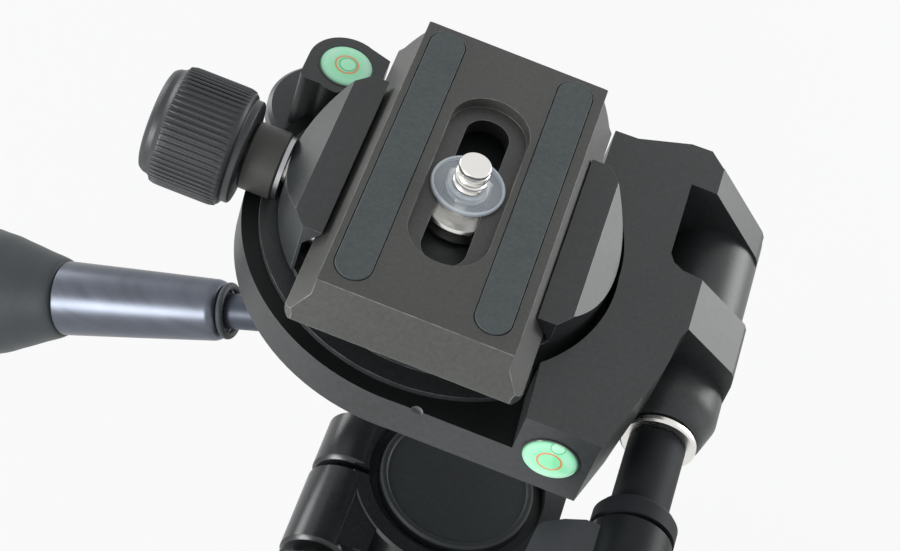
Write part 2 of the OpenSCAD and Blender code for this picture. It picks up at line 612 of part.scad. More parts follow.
base_foot();
base_socket();
foot_screws();
pan_post();
pan_cap();
pan_friction_ring();
pan_housing();
tilt_arm();
tilt_drum();
tilt_drum_screw();
tilt_end_cap();
tilt_cap_screw();
pan_lock_bolt();
pan_lock_knob();
tilt_housing();
tilt_brake_pad();
portrait_stub();
portrait_washer();
portrait_cap();
portrait_screw();
handle_rod();
handle_locknut();
handle_ring();
handle_sleeve();
handle_grip();
handle_end_cap();
platform();
clamp_base();
clamp_base_screws();
clamp_bush();
clamp_washer();
level_front_bezel();
level_front_vial();
level_top_bezel();
level_top_vial();
lug_foot();
moving_jaw();
jaw_springs();
clamp_knob();
clamp_screw();
side_bolt();
side_washer();
side_sleeve();
side_collar();
side_lever();
quick_release_plate();
rubber_strip_left();
rubber_strip_right();
retaining_washer();
camera_screw();
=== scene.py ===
"""Looks of a three way pan tilt head: finishes, edges, flutes, thread, levels and studio.

Numbers in profiles and names that end in _X, _Y, _Z, _R, _L or _W are millimetres.
"""
import json
import math
import bmesh
import bpy
from mathutils import Matrix, Vector


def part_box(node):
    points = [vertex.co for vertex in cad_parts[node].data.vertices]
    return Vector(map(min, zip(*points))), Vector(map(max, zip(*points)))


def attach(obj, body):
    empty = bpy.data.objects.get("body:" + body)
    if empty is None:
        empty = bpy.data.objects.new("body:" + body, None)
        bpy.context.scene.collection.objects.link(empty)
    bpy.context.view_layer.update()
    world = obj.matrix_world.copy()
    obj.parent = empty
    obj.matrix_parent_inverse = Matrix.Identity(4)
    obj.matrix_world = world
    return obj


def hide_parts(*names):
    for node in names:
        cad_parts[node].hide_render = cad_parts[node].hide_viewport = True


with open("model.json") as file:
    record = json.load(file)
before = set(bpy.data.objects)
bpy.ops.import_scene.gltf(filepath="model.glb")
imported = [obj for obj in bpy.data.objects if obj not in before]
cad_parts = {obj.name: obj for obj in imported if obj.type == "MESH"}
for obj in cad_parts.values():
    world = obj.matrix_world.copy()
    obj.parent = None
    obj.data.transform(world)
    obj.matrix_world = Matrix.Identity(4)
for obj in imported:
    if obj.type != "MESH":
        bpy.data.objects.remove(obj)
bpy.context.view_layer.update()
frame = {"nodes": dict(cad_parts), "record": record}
NODES = frame["nodes"]
MM = 0.001


# ---------------------------------------------------------------- shader expressions
class Sock:
    """A node output with arithmetic; each operator adds one Math node."""

    def __init__(self, finish, socket):
        self.finish, self.socket = finish, socket

    def _math(self, operation, a, b):
        return self.finish.node("ShaderNodeMath", {"operation": operation}, {0: a, 1: b})

    def __add__(self, other):
        return self._math("ADD", self, other)

    def __radd__(self, other):
        return self._math("ADD", other, self)

    def __sub__(self, other):
        return self._math("SUBTRACT", self, other)

    def __rsub__(self, other):
        return self._math("SUBTRACT", other, self)

    def __mul__(self, other):
        return self._math("MULTIPLY", self, other)

    def __rmul__(self, other):
        return self._math("MULTIPLY", other, self)

    def __truediv__(self, other):
        return self._math("DIVIDE", self, other)

    def __pow__(self, other):
        return self._math("POWER", self, other)

    def __gt__(self, other):
        return self._math("GREATER_THAN", self, other)

    def __lt__(self, other):
        return self._math("LESS_THAN", self, other)


class Finish:
    """A material or a Geometry Nodes tree under construction."""

    def __init__(self, name, tree=None):
        if tree is None:
            self.material = bpy.data.materials.new(name)
            self.material.use_nodes = True
            tree = self.material.node_tree
            tree.nodes.clear()
        self.tree = tree

    def node(self, kind, settings=None, values=None, out=0):
        """Adds a node: its settings first, then the values or links of its sockets."""
        made = self.tree.nodes.new(kind)
        for key, value in (settings or {}).items():
            if key == "stops":
                ramp = made.color_ramp
                while len(ramp.elements) < len(value):
                    ramp.elements.new(0.5)
                for element, (place, colour) in zip(ramp.elements, value):
                    element.position, element.color = place, colour
            else:
                setattr(made, key, value)
        for key, value in (values or {}).items():
            target = made.inputs[key]
            if isinstance(value, Sock):
                self.tree.links.new(value.socket, target)
            else:
                target.default_value = value
        return Sock(self, made.outputs[out]) if len(made.outputs) else made

    def coords(self, scale=(1, 1, 1), location=(0, 0, 0)):
        place = self.node("ShaderNodeTexCoord", out="Object")
        return self.node("ShaderNodeMapping", values={"Vector": place, "Scale": scale,
                                                      "Location": location})

    def noise(self, vector, scale, detail=3.0):
        return self.node("ShaderNodeTexNoise", values={"Vector": vector, "Scale": scale, "Detail": detail,
                                                       "Roughness": 0.55})

    def clamped(self, value):
        return self.node("ShaderNodeClamp", values={"Value": value})

    def attribute(self, name):
        return self.node("ShaderNodeAttribute", {"attribute_name": name}, out="Fac")

    def mix(self, factor, a, b):
        """Mixes two colours; sockets 6, 7 and 2 are the node's colour A, colour B and colour result."""
        return self.node("ShaderNodeMix", {"data_type": "RGBA"}, {"Factor": factor, 6: a, 7: b}, out=2)

    def length_mm(self, vector):
        """Length of a vector in metres, as millimetres."""
        return self.node("ShaderNodeVectorMath", {"operation": "LENGTH"}, {0: vector}, out="Value") / MM

    def direct_view(self):
        """1 or more where a surface is seen by the camera, in a mirror or through glass."""
        path = self.tree.nodes.new("ShaderNodeLightPath")
        to_camera, in_gloss, through_glass = (
            Sock(self, path.outputs[f"Is {ray} Ray"]) for ray in ("Camera", "Glossy", "Transmission"))
        return to_camera + in_gloss + through_glass

    def surface(self, values):
        shader = self.node("ShaderNodeBsdfPrincipled", values=values)
        self.node("ShaderNodeOutputMaterial", values={"Surface": shader})
        return self.material


def rgb(r, g, b):
    return (r, g, b, 1.0)


def bumped(f, height, strength, distance):
    return f.node("ShaderNodeBump", values={"Height": height, "Strength": strength, "Distance": distance})


# share of bare metal in a broken edge, part wear and part painted highlight, and of matt black painted shade
# in a face that is marked for it
EDGE_WEAR_AND_HIGHLIGHT, PAINTED_SHADE_BLACK = 0.75, 0.8


def edge_wear_and_highlight(f, place, colour, rough, bare):
    """Mixes bare metal into the broken edges, in patches, from the mesh's own edge attribute: part wear and
    part painted highlight along the edges.
    """
    edge = f.attribute("edge")
    patch = f.clamped((f.noise(place, 420.0, 4.0) - 0.42) * 5.0)
    wear_and_highlight = edge * (patch * 0.65 + 0.35) * EDGE_WEAR_AND_HIGHLIGHT
    return f.mix(wear_and_highlight, colour, bare), rough - wear_and_highlight * 0.12


def powder_coat(name, dark, light, grain=900.0, rough=0.42, depth=0.00005, bare=None, specular=0.5):
    """Fine powder coat: a speckled colour, a pebbled skin, uneven gloss, worn edges that also carry painted
    highlight, and marked faces of painted shade.
    """
    f = Finish(name)
    place = f.coords()
    pebble = f.noise(place, grain, 2.0)
    cloud = f.noise(place, 35.0, 4.0)
    speck = f.noise(place, grain * 2.2, 1.0)
    shade = pebble * 0.45 + cloud * 0.35 + speck * 0.2
    colour = f.mix(f.clamped((shade - 0.35) * 3.2), dark, light)
    gloss = cloud * 0.12 + (rough - 0.06)
    if bare:
        colour, gloss = edge_wear_and_highlight(f, place, colour, gloss, bare)
    coat = {"Base Color": colour, "Roughness": gloss, "Specular IOR Level": specular,
            "Normal": bumped(f, pebble * 0.7 + speck * 0.3, 0.5, depth)}
    if not bare:
        return f.surface(coat)
    # the marked faces get painted shade: mostly matt black, with a little of the coat's own sheen
    painted = f.node("ShaderNodeBsdfPrincipled", values=coat)
    black = f.node("ShaderNodeBsdfPrincipled", values={
        "Base Color": rgb(0.004, 0.005, 0.005), "Roughness": 0.5, "Specular IOR Level": 0.12})
    painted_shade_share = f.attribute("well") * PAINTED_SHADE_BLACK
    both = f.node("ShaderNodeMixShader", values={"Fac": painted_shade_share, 1: painted, 2: black})
    f.node("ShaderNodeOutputMaterial", values={"Surface": both})
    return f.material


def moulded(name, dark, light, rough, grain=1400.0, depth=0.00004, sheen=0.0, specular=0.5):
    """Moulded plastic or rubber: a fine skin and slow clouds of colour and gloss."""
    f = Finish(name)
    place = f.coords()
    skin = f.noise(place, grain, 2.0)
    cloud = f.noise(place, 60.0, 3.0)
    colour = f.mix(cloud * 0.6 + skin * 0.4, dark, light)
    return f.surface({"Base Color": colour, "Roughness": cloud * 0.16 + (rough - 0.08),
                      "Specular IOR Level": specular, "Sheen Weight": sheen,
                      "Normal": bumped(f, skin, 0.5, depth)})


def grained_rubber(name, dark, light):
    """Cork-and-rubber strip: bluish grey crumbs of two sizes with pale flecks."""
    f = Finish(name)
    place = f.coords()
    crumb = f.node("ShaderNodeTexVoronoi", {"feature": "F1"}, {"Vector": place, "Scale": 1500.0}, out="Color")
    crumb = f.node("ShaderNodeSeparateColor", values={"Color": crumb})
    fine = f.noise(place, 2600.0, 2.0)
    wide = f.noise(place, 220.0, 3.0)
    fleck = (f.noise(place, 1900.0, 1.0) > 0.68) * 0.3
    shade = crumb * 0.35 + fine * 0.35 + wide * 0.3
    colour = f.mix(shade, dark, light)
    colour = f.mix(fleck, colour, rgb(0.1, 0.115, 0.12))
    return f.surface({"Base Color": colour, "Roughness": 0.6 + fine * 0.16,
                      "Normal": bumped(f, crumb * 0.5 + fine * 0.5, 0.7, 0.0001)})


def turned_metal(name, dark, light, rough, rings=2600.0, metallic=1.0, depth=0.00002):
    """Turned metal: fine level rings and a faint smear."""
    f = Finish(name)
    ring = f.noise(f.coords(scale=(40.0, 40.0, rings)), 1.0, 2.0)
    smear_and_reflection = f.noise(f.coords(), 120.0)
    return f.surface({"Base Color": f.mix(ring * 0.5 + smear_and_reflection * 0.5, dark, light), "Metallic": metallic,
                      "Roughness": rough + ring * 0.12 + smear_and_reflection * 0.06,
                      "Normal": bumped(f, ring, 0.25, depth)})


CASTING = powder_coat("charcoal_powder_coat", rgb(0.019, 0.0215, 0.022), rgb(0.034, 0.0385, 0.039),
                      bare=rgb(0.34, 0.35, 0.36))
PLATE = powder_coat("plate_coat", rgb(0.046, 0.0475, 0.043), rgb(0.07, 0.0725, 0.066), grain=1100.0,
                    rough=0.46, bare=rgb(0.3, 0.3, 0.28))
GLOSS_BLACK = powder_coat("gloss_black_paint", rgb(0.011, 0.0125, 0.0135), rgb(0.02, 0.0225, 0.024),
                          rough=0.28, depth=0.00002, bare=rgb(0.25, 0.26, 0.28))
CAP_BLACK = powder_coat("cap_black", rgb(0.023, 0.0265, 0.027), rgb(0.033, 0.038, 0.0385), rough=0.5,
                        depth=0.00002, specular=0.25)
DARK_METAL = powder_coat("satin_dark_metal", rgb(0.018, 0.021, 0.026), rgb(0.028, 0.033, 0.04), rough=0.34,
                         depth=0.00002, bare=rgb(0.06, 0.063, 0.07))
SLEEVE = turned_metal("dark_satin_sleeve", rgb(0.065, 0.073, 0.09), rgb(0.15, 0.165, 0.2), rough=0.26,
                      metallic=0.75, rings=900.0, depth=0.00005)
ROD = turned_metal("satin_rod", rgb(0.036, 0.042, 0.055), rgb(0.066, 0.076, 0.1), rough=0.36, metallic=0.5)
KNOB = moulded("knob_plastic", rgb(0.018, 0.0205, 0.022), rgb(0.032, 0.036, 0.039), rough=0.44)
RUBBER = moulded("grip_rubber", rgb(0.021, 0.026, 0.029), rgb(0.036, 0.044, 0.049), rough=0.6, grain=900.0,
                 depth=0.0001, sheen=0.08)
MATT_SLEEVE = moulded("matt_black_sleeve", rgb(0.008, 0.0095, 0.0115), rgb(0.014, 0.016, 0.019), rough=0.62,
                      specular=0.22)
BUSH = moulded("satin_bush", rgb(0.03, 0.03, 0.027), rgb(0.05, 0.05, 0.046), rough=0.42, specular=0.35)
STRIP = grained_rubber("grained_strip", rgb(0.04, 0.05, 0.05), rgb(0.086, 0.103, 0.103))
BRIGHT = turned_metal("bright_steel", rgb(0.72, 0.71, 0.68), rgb(0.88, 0.87, 0.84), rough=0.2)
GREY_STEEL = turned_metal("grey_steel", rgb(0.3, 0.31, 0.32), rgb(0.45, 0.46, 0.47), rough=0.26)
NYLON = moulded("nylon", rgb(0.5, 0.51, 0.5), rgb(0.62, 0.63, 0.62), rough=0.5)
BRASS = turned_metal("brass", rgb(0.55, 0.38, 0.16), rgb(0.72, 0.53, 0.26), rough=0.25)

# a material slot's finish, and the nodes that differ from their slot; the levels' glasses and the clear
# washer get their own finish where they are made
FINISH_OF = {"casting": CASTING, "plate": PLATE, "dark_metal": DARK_METAL, "satin_sleeve": SLEEVE,
             "knob": KNOB, "rubber": RUBBER, "strip": STRIP, "bright_steel": BRIGHT,
             "grey_steel": GREY_STEEL, "nylon": NYLON, "brass_pad": BRASS, "vial": NYLON,
             "clear_washer": NYLON}
FINISH_OF_NODE = {"base_foot": GLOSS_BLACK, "pan_post": GLOSS_BLACK, "pan_housing": GLOSS_BLACK,
                  "tilt_arm": GLOSS_BLACK, "tilt_housing": GLOSS_BLACK, "pan_cap": CAP_BLACK,
                  "side_sleeve": MATT_SLEEVE, "side_collar": MATT_SLEEVE, "side_lever": DARK_METAL,
                  "clamp_bush": BUSH, "clamp_washer": GREY_STEEL, "handle_rod": ROD}
SLOT_OF = {s["node"]: s["material_slot"] for s in frame["record"]["subparts"]}
BODY_OF = {n: b for b, names in frame["record"]["behaviour"]["bodies"].items() for n in names}


def finish_for(node):
    return FINISH_OF_NODE.get(node, FINISH_OF[SLOT_OF[node]])


for node_name, cad in NODES.items():
    for cad_slot in cad.material_slots:
        cad_slot.material = finish_for(node_name)


# ---------------------------------------------------------------- mesh helpers
def in_scene(name, data):
    made = bpy.data.objects.new(name, data)
    bpy.context.scene.collection.objects.link(made)
    return made


def piece(name, mesh, material, node):
    """Links a finished mesh as a piece that rides where its CAD node rides."""
    made = in_scene(name, mesh)
    mesh.materials.clear()
    mesh.materials.append(material)
    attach(made, BODY_OF[node])
    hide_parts(node)
    return made


def smooth_by_angle(mesh, degrees=32.0):
    mesh.shade_smooth()
    mesh.set_sharp_from_angle(angle=math.radians(degrees))


# a profile point this close to the axis lies on it
AXIS_R = 1e-6


def lathe(name, profile, matrix, segments=96):
    """Turns (radius, height) points in mm about local Z; closed where the profile meets the axis."""
    bm = bmesh.new()
    turns = [2 * math.pi * i / segments for i in range(segments)]
    loops = []
    for radius, height in profile:
        if radius < AXIS_R:
            loops.append([bm.verts.new((0, 0, height * MM))])
        else:
            loops.append([bm.verts.new((radius * MM * math.cos(turn), radius * MM * math.sin(turn),
                                        height * MM)) for turn in turns])
    for a, b in zip(loops, loops[1:]):
        for i in range(segments):
            j = (i + 1) % segments
            corners = []
            for loop, index in ((a, i), (a, j), (b, j), (b, i)):
                vert = loop[index % len(loop)] if len(loop) > 1 else loop[0]
                if vert not in corners:
                    corners.append(vert)
            if len(corners) > 2:
                bm.faces.new(corners)
    bmesh.ops.recalc_face_normals(bm, faces=bm.faces)
    bm.transform(matrix)
    mesh = bpy.data.meshes.new(name)
    bm.to_mesh(mesh)
    bm.free()
    smooth_by_angle(mesh)
    return mesh


def rounded(profile, radius, steps=4):
    """Rounds every corner of a (radius, height) profile but its two ends, by radius mm."""
    points = [profile[0]]
    for before, here, after in zip(profile, profile[1:], profile[2:]):
        here_v = Vector(here)
        to_a, to_b = Vector(before) - here_v, Vector(after) - here_v
        reach = min(radius, to_a.length * 0.45, to_b.length * 0.45)
        a, b = here_v + to_a.normalized() * reach, here_v + to_b.normalized() * reach
        for i in range(steps + 1):
            t = i / steps
            points.append(tuple(a * (1 - t) ** 2 + here_v * 2 * t * (1 - t) + b * t ** 2))
    return points + [profile[-1]]


def mark_faces(mesh, name, test):
    """Writes 1 or 0 a face, by a test of the face, as an attribute that the finishes read."""
    marks = [float(bool(test(face))) for face in mesh.polygons]
    mesh.attributes.new(name, "FLOAT", "FACE").data.foreach_set("value", marks)


# points this close are joined and faces this flat are merged before an edge past SHARP is broken
JOIN_M, SLIVER_M, FLAT, SHARP = 2e-6, 1e-6, math.radians(0.4), math.radians(28)


def bevelled(node, width, segments, well=None, glint=None):
    """The CAD node's own form with its sharp edges broken, as a casting's or a milled part's are.

    The painted shade test and the glint test look at a face's centre in mm, and mark faces for painted shade
    and faces of bare bright metal as a painted highlight.
    """
    mesh = NODES[node].data.copy()
    bm = bmesh.new()
    bm.from_mesh(mesh)
    bmesh.ops.remove_doubles(bm, verts=bm.verts, dist=JOIN_M)
    bmesh.ops.dissolve_degenerate(bm, dist=SLIVER_M, edges=bm.edges)
    bmesh.ops.dissolve_limit(bm, angle_limit=FLAT, verts=bm.verts, edges=bm.edges)
    bm.to_mesh(mesh)
    bm.free()
    mesh.shade_smooth()
    finish = finish_for(node)
    made = piece(node + "_edged", mesh, finish, node)
    # a second slot of the same finish tells the broken edges' faces apart below
    mesh.materials.append(finish)
    edge = made.modifiers.new("edge", "BEVEL")
    edge.material = 1
    edge.width = width * MM
    edge.segments = segments
    edge.limit_method = "ANGLE"
    edge.angle_limit = SHARP
    edge.use_clamp_overlap = True
    edge.harden_normals = False
    edge.miter_outer = "MITER_ARC"
    smooth = made.modifiers.new("weights", "WEIGHTED_NORMAL")
    smooth.keep_sharp = True
    depsgraph = bpy.context.evaluated_depsgraph_get()
    done = bpy.data.meshes.new_from_object(made.evaluated_get(depsgraph))
    made.modifiers.clear()
    made.data = done
    # bare metal on the broken edges, part wear and part painted highlight; on the glint faces it is a painted
    # highlight
    mark_faces(done, "edge", lambda face: face.material_index == 1 or (glint and glint(face.center / MM)))
    # faces of painted shade, mostly matt black
    if well:
        mark_faces(done, "well", lambda face: well(face.center / MM, face.normal))
    for face in done.polygons:
        face.material_index = 0
    done.materials.pop(index=1)
    smooth_by_angle(done, 38.0)
    return made


# ---------------------------------------------------------------- geometry nodes
def new_tree(name, inputs):
    """A Geometry Nodes tree with named inputs; build.given("Label") reads one."""
    tree = bpy.data.node_groups.new(name, "GeometryNodeTree")
    tree.interface.new_socket("Geometry", in_out="OUTPUT", socket_type="NodeSocketGeometry")
    for label, value in inputs.items():
        kind = "NodeSocketInt" if isinstance(value, int) else (
            "NodeSocketMaterial" if isinstance(value, bpy.types.Material) else "NodeSocketFloat")
        tree.interface.new_socket(label, in_out="INPUT", socket_type=kind)
    given = tree.nodes.new("NodeGroupInput")
    build = Finish(name, tree)
    build.given = lambda label: Sock(build, given.outputs[label])
    return build


def finish_tree(build, geometry):
    whole = build.node("GeometryNodeRealizeInstances", values={"Geometry": geometry})
    whole = build.node("GeometryNodeSetMaterial", values={"Geometry": whole,
                                                          "Material": build.given("Material")})
    out = build.tree.nodes.new("NodeGroupOutput")
    build.tree.links.new(whole.socket, out.inputs[0])


def run_tree(build, inputs, matrix, name):
    """Runs the tree on an empty mesh and gives back a plain mesh, placed by matrix."""
    holder = in_scene(name + "_holder", bpy.data.meshes.new(name))
    modifier = holder.modifiers.new("build", "NODES")
    modifier.node_group = build.tree
    for item in build.tree.interface.items_tree:
        if item.in_out == "INPUT" and item.name in inputs:
            modifier[item.identifier] = inputs[item.name]
    mesh = bpy.data.meshes.new_from_object(
        holder.evaluated_get(bpy.context.evaluated_depsgraph_get()))
    bpy.data.objects.remove(holder)
    mesh.transform(matrix)
    mesh.name = name
    return mesh


def straight_line(build, length, count):
    """A line along local Z with count points, evenly spaced."""
    line = build.node("GeometryNodeCurvePrimitiveLine", {"mode": "POINTS"}, {
        "End": build.node("ShaderNodeCombineXYZ", values={"Z": length})})
    return build.node("GeometryNodeResampleCurve", values={"Curve": line, "Count": count})


def narrowed_ends(build, power, loss):
    """1 along the middle of a curve, falling by loss at both ends; a higher power falls later."""
    share = build.node("GeometryNodeSplineParameter")
    return 1 - ((share * 2 - 1) ** 2) ** power * loss


def round_section(build, sides, radius):
    return build.node("GeometryNodeCurvePrimitiveCircle", values={"Resolution": sides, "Radius": radius})


def sweep(build, line, ring, reach):
    """Curve to Mesh with a radius that varies along the line."""
    line = build.node("GeometryNodeSetCurveRadius", values={"Curve": line, "Radius": reach})
    made = build.tree.nodes.new("GeometryNodeCurveToMesh")
    build.tree.links.new(line.socket, made.inputs["Curve"])
    build.tree.links.new(ring.socket, made.inputs["Profile Curve"])
    made.inputs["Fill Caps"].default_value = True
    if "Scale" in made.inputs:
        build.tree.links.new(reach.socket, made.inputs["Scale"])
    return Sock(build, made.outputs[0])


def flute_ring_tree():
    """Straight ridges set round a drum; local Z is the drum's axis."""
    build = new_tree("flute_ring", {"Count": 60, "Radius": 0.01, "Length": 0.01, "Half width": 0.0004,
                                    "Material": KNOB})
    line = straight_line(build, build.given("Length"), 14)
    reach = narrowed_ends(build, 6, 0.75)
    bar = sweep(build, line, round_section(build, 8, build.given("Half width")), reach)
    circle = build.node("GeometryNodeMeshCircle", values={"Vertices": build.given("Count"),
                                                          "Radius": build.given("Radius")})
    finish_tree(build, build.node("GeometryNodeInstanceOnPoints", values={"Points": circle, "Instance": bar}))
    return build


def thread_tree():
    """A screw thread: a fine six-sided rib swept along a helix about local Z."""
    build = new_tree("screw_thread", {"Radius": 0.003, "Pitch": 0.00127, "Turns": 4.0, "Depth": 0.0003,
                                      "Material": BRIGHT})
    radius = build.given("Radius") - build.given("Depth")
    helix = build.node("GeometryNodeCurveSpiral", values={
        "Resolution": 48, "Rotations": build.given("Turns"), "Start Radius": radius, "End Radius": radius,
        "Height": build.given("Turns") * build.given("Pitch")})
    reach = narrowed_ends(build, 12, 0.9)
    finish_tree(build, sweep(build, helix, round_section(build, 6, build.given("Depth") * 1.15), reach))
    return build


def grip_tree():
    """The grip: one turned body whose radius follows a profile along its length."""
    build = new_tree("grip_body", {"Length": 0.09, "Neck": 0.008, "Full": 0.015, "Material": RUBBER})
    line = straight_line(build, build.given("Length"), 180)
    share = build.node("GeometryNodeSplineParameter")
    shape = build.tree.nodes.new("ShaderNodeFloatCurve")
    points = shape.mapping.curves[0].points
    # share of the length, and how far the radius has gone from neck to full
    stops = [(0.0, -0.02), (0.006, 0.06), (0.06, 0.31), (0.123, 0.6), (0.19, 0.87), (0.255, 1.0),
             (0.33, 1.0), (0.47, 0.9), (0.7, 0.8), (0.9, 0.83), (0.955, 0.76), (1.0, 0.62)]
    while len(points) < len(stops):
        points.new(0.5, 0.5)
    for point, stop in zip(points, stops):
        point.location = stop
        point.handle_type = "AUTO_CLAMPED"
    shape.mapping.use_clip = False
    shape.mapping.update()
    build.tree.links.new(share.socket, shape.inputs["Value"])
    rise = Sock(build, shape.outputs[0])
    ratio = build.given("Neck") / build.given("Full")
    reach = ratio + rise * (1 - ratio)
    finish_tree(build, sweep(build, line, round_section(build, 96, build.given("Full")), reach))
    return build


def joined(name, meshes, smooth_angle):
    """One mesh from several, smooth but for edges past smooth_angle degrees."""
    bm = bmesh.new()
    for mesh in meshes:
        bm.from_mesh(mesh)
    out = bpy.data.meshes.new(name)
    bm.to_mesh(out)
    bm.free()
    smooth_by_angle(out, smooth_angle)
    return out


def aimed(axis, origin):
    """Local Z turned onto axis, then moved to origin (metres)."""
    turn = Vector((0, 0, 1)).rotation_difference(Vector(axis)).to_matrix().to_4x4()
    return Matrix.Translation(origin) @ turn


def raised(matrix, height):
    """The same place, moved height mm along its local Z."""
    return matrix @ Matrix.Translation((0, 0, height * MM))


def box_of(node):
    """A node's middle and its lowest and highest corners, in metres."""
    low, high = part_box(node)
    return (low + high) / 2, low, high


# ---------------------------------------------------------------- knobs with ridges round their drums
FLUTES = flute_ring_tree()


def ridged_knob(name, node, at, profile, corner, count, drum, ridge, length, start):
    """A turned core with round ridges, ridge mm half wide, set at radius drum from start on."""
    core = lathe(name + "_core", rounded(profile, corner), at)
    sizes = {"Count": count, "Radius": drum * MM, "Length": length * MM, "Half width": ridge * MM,
             "Material": KNOB}
    ridges = run_tree(FLUTES, sizes, raised(at, start), name + "_ridges")
    piece(name, joined(name, [core, ridges], 35), KNOB, node)


mid, low, high = box_of("clamp_knob")
knob_r = (high.z - low.z) / 2 / MM
ridged_knob("clamp_knob_fluted", "clamp_knob", aimed((1, 0, 0), Vector((low.x, mid.y, mid.z))), [
    (0, 0.5), (6.0, 0.5), (6.8, 0.0), (8.8, 0.0), (9.9, 0.4), (10.5, 1.3), (10.7, 2.3), (knob_r - 0.8, 2.9),
    (knob_r - 0.36, 3.4), (knob_r - 0.36, 16.2), (knob_r - 0.9, 17.0), (10.4, 17.2), (10.4, 18.5),
    (10.0, 18.8), (7.2, 18.8), (3.1, 18.75), (0, 18.75)],
    corner=0.3, count=60, drum=knob_r - 0.42, ridge=0.42, length=13.3, start=3.1)

mid, low, high = box_of("pan_lock_knob")
ridged_knob("pan_lock_knob_ridged", "pan_lock_knob", aimed((0, -1, 0), Vector((mid.x, high.y, mid.z))), [
    (0, 0.0), (5.5, 0.0), (5.5, 2.2), (8.8, 2.9), (9.9, 3.6), (9.9, 14.3), (8.9, 15.6), (6, 15.9),
    (5, 15.6), (0, 15.5)],
    corner=0.4, count=24, drum=9.75, ridge=0.85, length=11.2, start=3.3)

# ---------------------------------------------------------------- main handle
# heights along the handle's own axis, from its joint
SLEEVE_Z, GRIP_Z, CAP_Z = 75.7, 115.5, 205.05
GRIP_L, GRIP_NECK_R, GRIP_R = 89.3, 8.6, 15.0
ROD_BORE_R, STUD_R = 4.02, 3.9
handle_joint = next(j for j in frame["record"]["behaviour"]["joints"] if j["child"] == "main_handle")
HANDLE_AT = aimed(handle_joint["axis"], Vector(handle_joint["pos_m"]))
grip = run_tree(grip_tree(), {"Length": GRIP_L * MM, "Neck": GRIP_NECK_R * MM, "Full": GRIP_R * MM,
                              "Material": RUBBER}, raised(HANDLE_AT, GRIP_Z), "handle_grip_body")
smooth_by_angle(grip, 50)
piece("handle_grip_body", grip, RUBBER, "handle_grip")
piece("handle_sleeve_turned", lathe("handle_sleeve_turned", rounded([
    (ROD_BORE_R, SLEEVE_Z), (5.4, SLEEVE_Z - 0.08), (6.4, SLEEVE_Z + 0.4), (6.9, SLEEVE_Z + 1.7),
    (7.75, SLEEVE_Z + 21.3), (8.5, GRIP_Z - 0.1), (ROD_BORE_R, GRIP_Z - 0.1)], 0.5),
    HANDLE_AT), SLEEVE, "handle_sleeve")
piece("handle_end_cap_turned", lathe("handle_end_cap_turned", rounded([
    (0, CAP_Z - 7.85), (STUD_R, CAP_Z - 7.85), (STUD_R, CAP_Z), (11.6, CAP_Z), (11.6, CAP_Z + 1.55),
    (10.4, CAP_Z + 3.15), (7.5, CAP_Z + 4.15), (5.0, CAP_Z + 3.85), (0, CAP_Z + 3.85)], 0.8),
    HANDLE_AT), KNOB, "handle_end_cap")

# ---------------------------------------------------------------- camera screw and its clear washer
# the plate's top face at the screw's axis, which the profiles below start from
SCREW_X, PLATE_TOP_Z = -21, 120
SCREW_AT = Matrix.Translation((SCREW_X * MM, 0, PLATE_TOP_Z * MM))
# a quarter inch screw with 20 threads to the inch
THREAD_R, PITCH, THREAD_DEPTH = 3.175, 1.27, 0.36
screw_core = lathe("screw_core", rounded([
    (0, -9.7), (7.9, -9.7), (8.4, -9.2), (8.4, -6.6), (7.9, -6.1), (4.2, -6.1), (4.2, -2.5), (2.87, -2.5),
    (2.87, -1.4), (2.72, -1.2), (2.72, 2.9), (3.1, 3.2), (3.16, 3.6), (3.16, 4.1), (2.95, 4.37),
    (0, 4.38)], 0.12, 3), SCREW_AT, 64)
screw_rib = run_tree(thread_tree(), {"Radius": THREAD_R * MM, "Pitch": PITCH * MM, "Turns": 3.2,
                                     "Depth": THREAD_DEPTH * MM, "Material": BRIGHT},
                     raised(SCREW_AT, -1.15), "screw_rib")
piece("camera_screw_threaded", joined("camera_screw_threaded", [screw_core, screw_rib], 40), BRIGHT,
      "camera_screw")


def clear_plastic(name, inner_rim, outer_rim):
    """See-through bluish plastic, denser outside outer_rim and inside inner_rim, both mm from the screw."""
    f = Finish(name)
    from_screw = f.length_mm(f.coords(scale=(1, 1, 0), location=(-SCREW_X * MM, 0, 0)))
    cloud = f.noise(f.coords(), 160.0)
    rims = (from_screw > outer_rim) * 0.5 + (from_screw < inner_rim) * 0.25
    return f.surface({"Base Color": f.mix(cloud, rgb(0.6, 0.68, 0.76), rgb(0.8, 0.86, 0.9)),
                      "Roughness": 0.1 + cloud * 0.1, "Alpha": rims + 0.3, "Specular IOR Level": 0.7,
                      "Coat Weight": 0.3, "Coat Roughness": 0.1})


piece("retaining_washer_clear", lathe("retaining_washer_clear", rounded([
    (2.93, -2.4), (7.3, -2.45), (7.3, -1.55), (4.0, -1.5), (3.6, -1.25), (2.93, -1.3), (2.93, -2.4)], 0.3),
    SCREW_AT, 72), clear_plastic("clear_bluish_plastic", 4.0, 6.75), "retaining_washer")


# ---------------------------------------------------------------- bubble levels
VIAL_R = 5.35


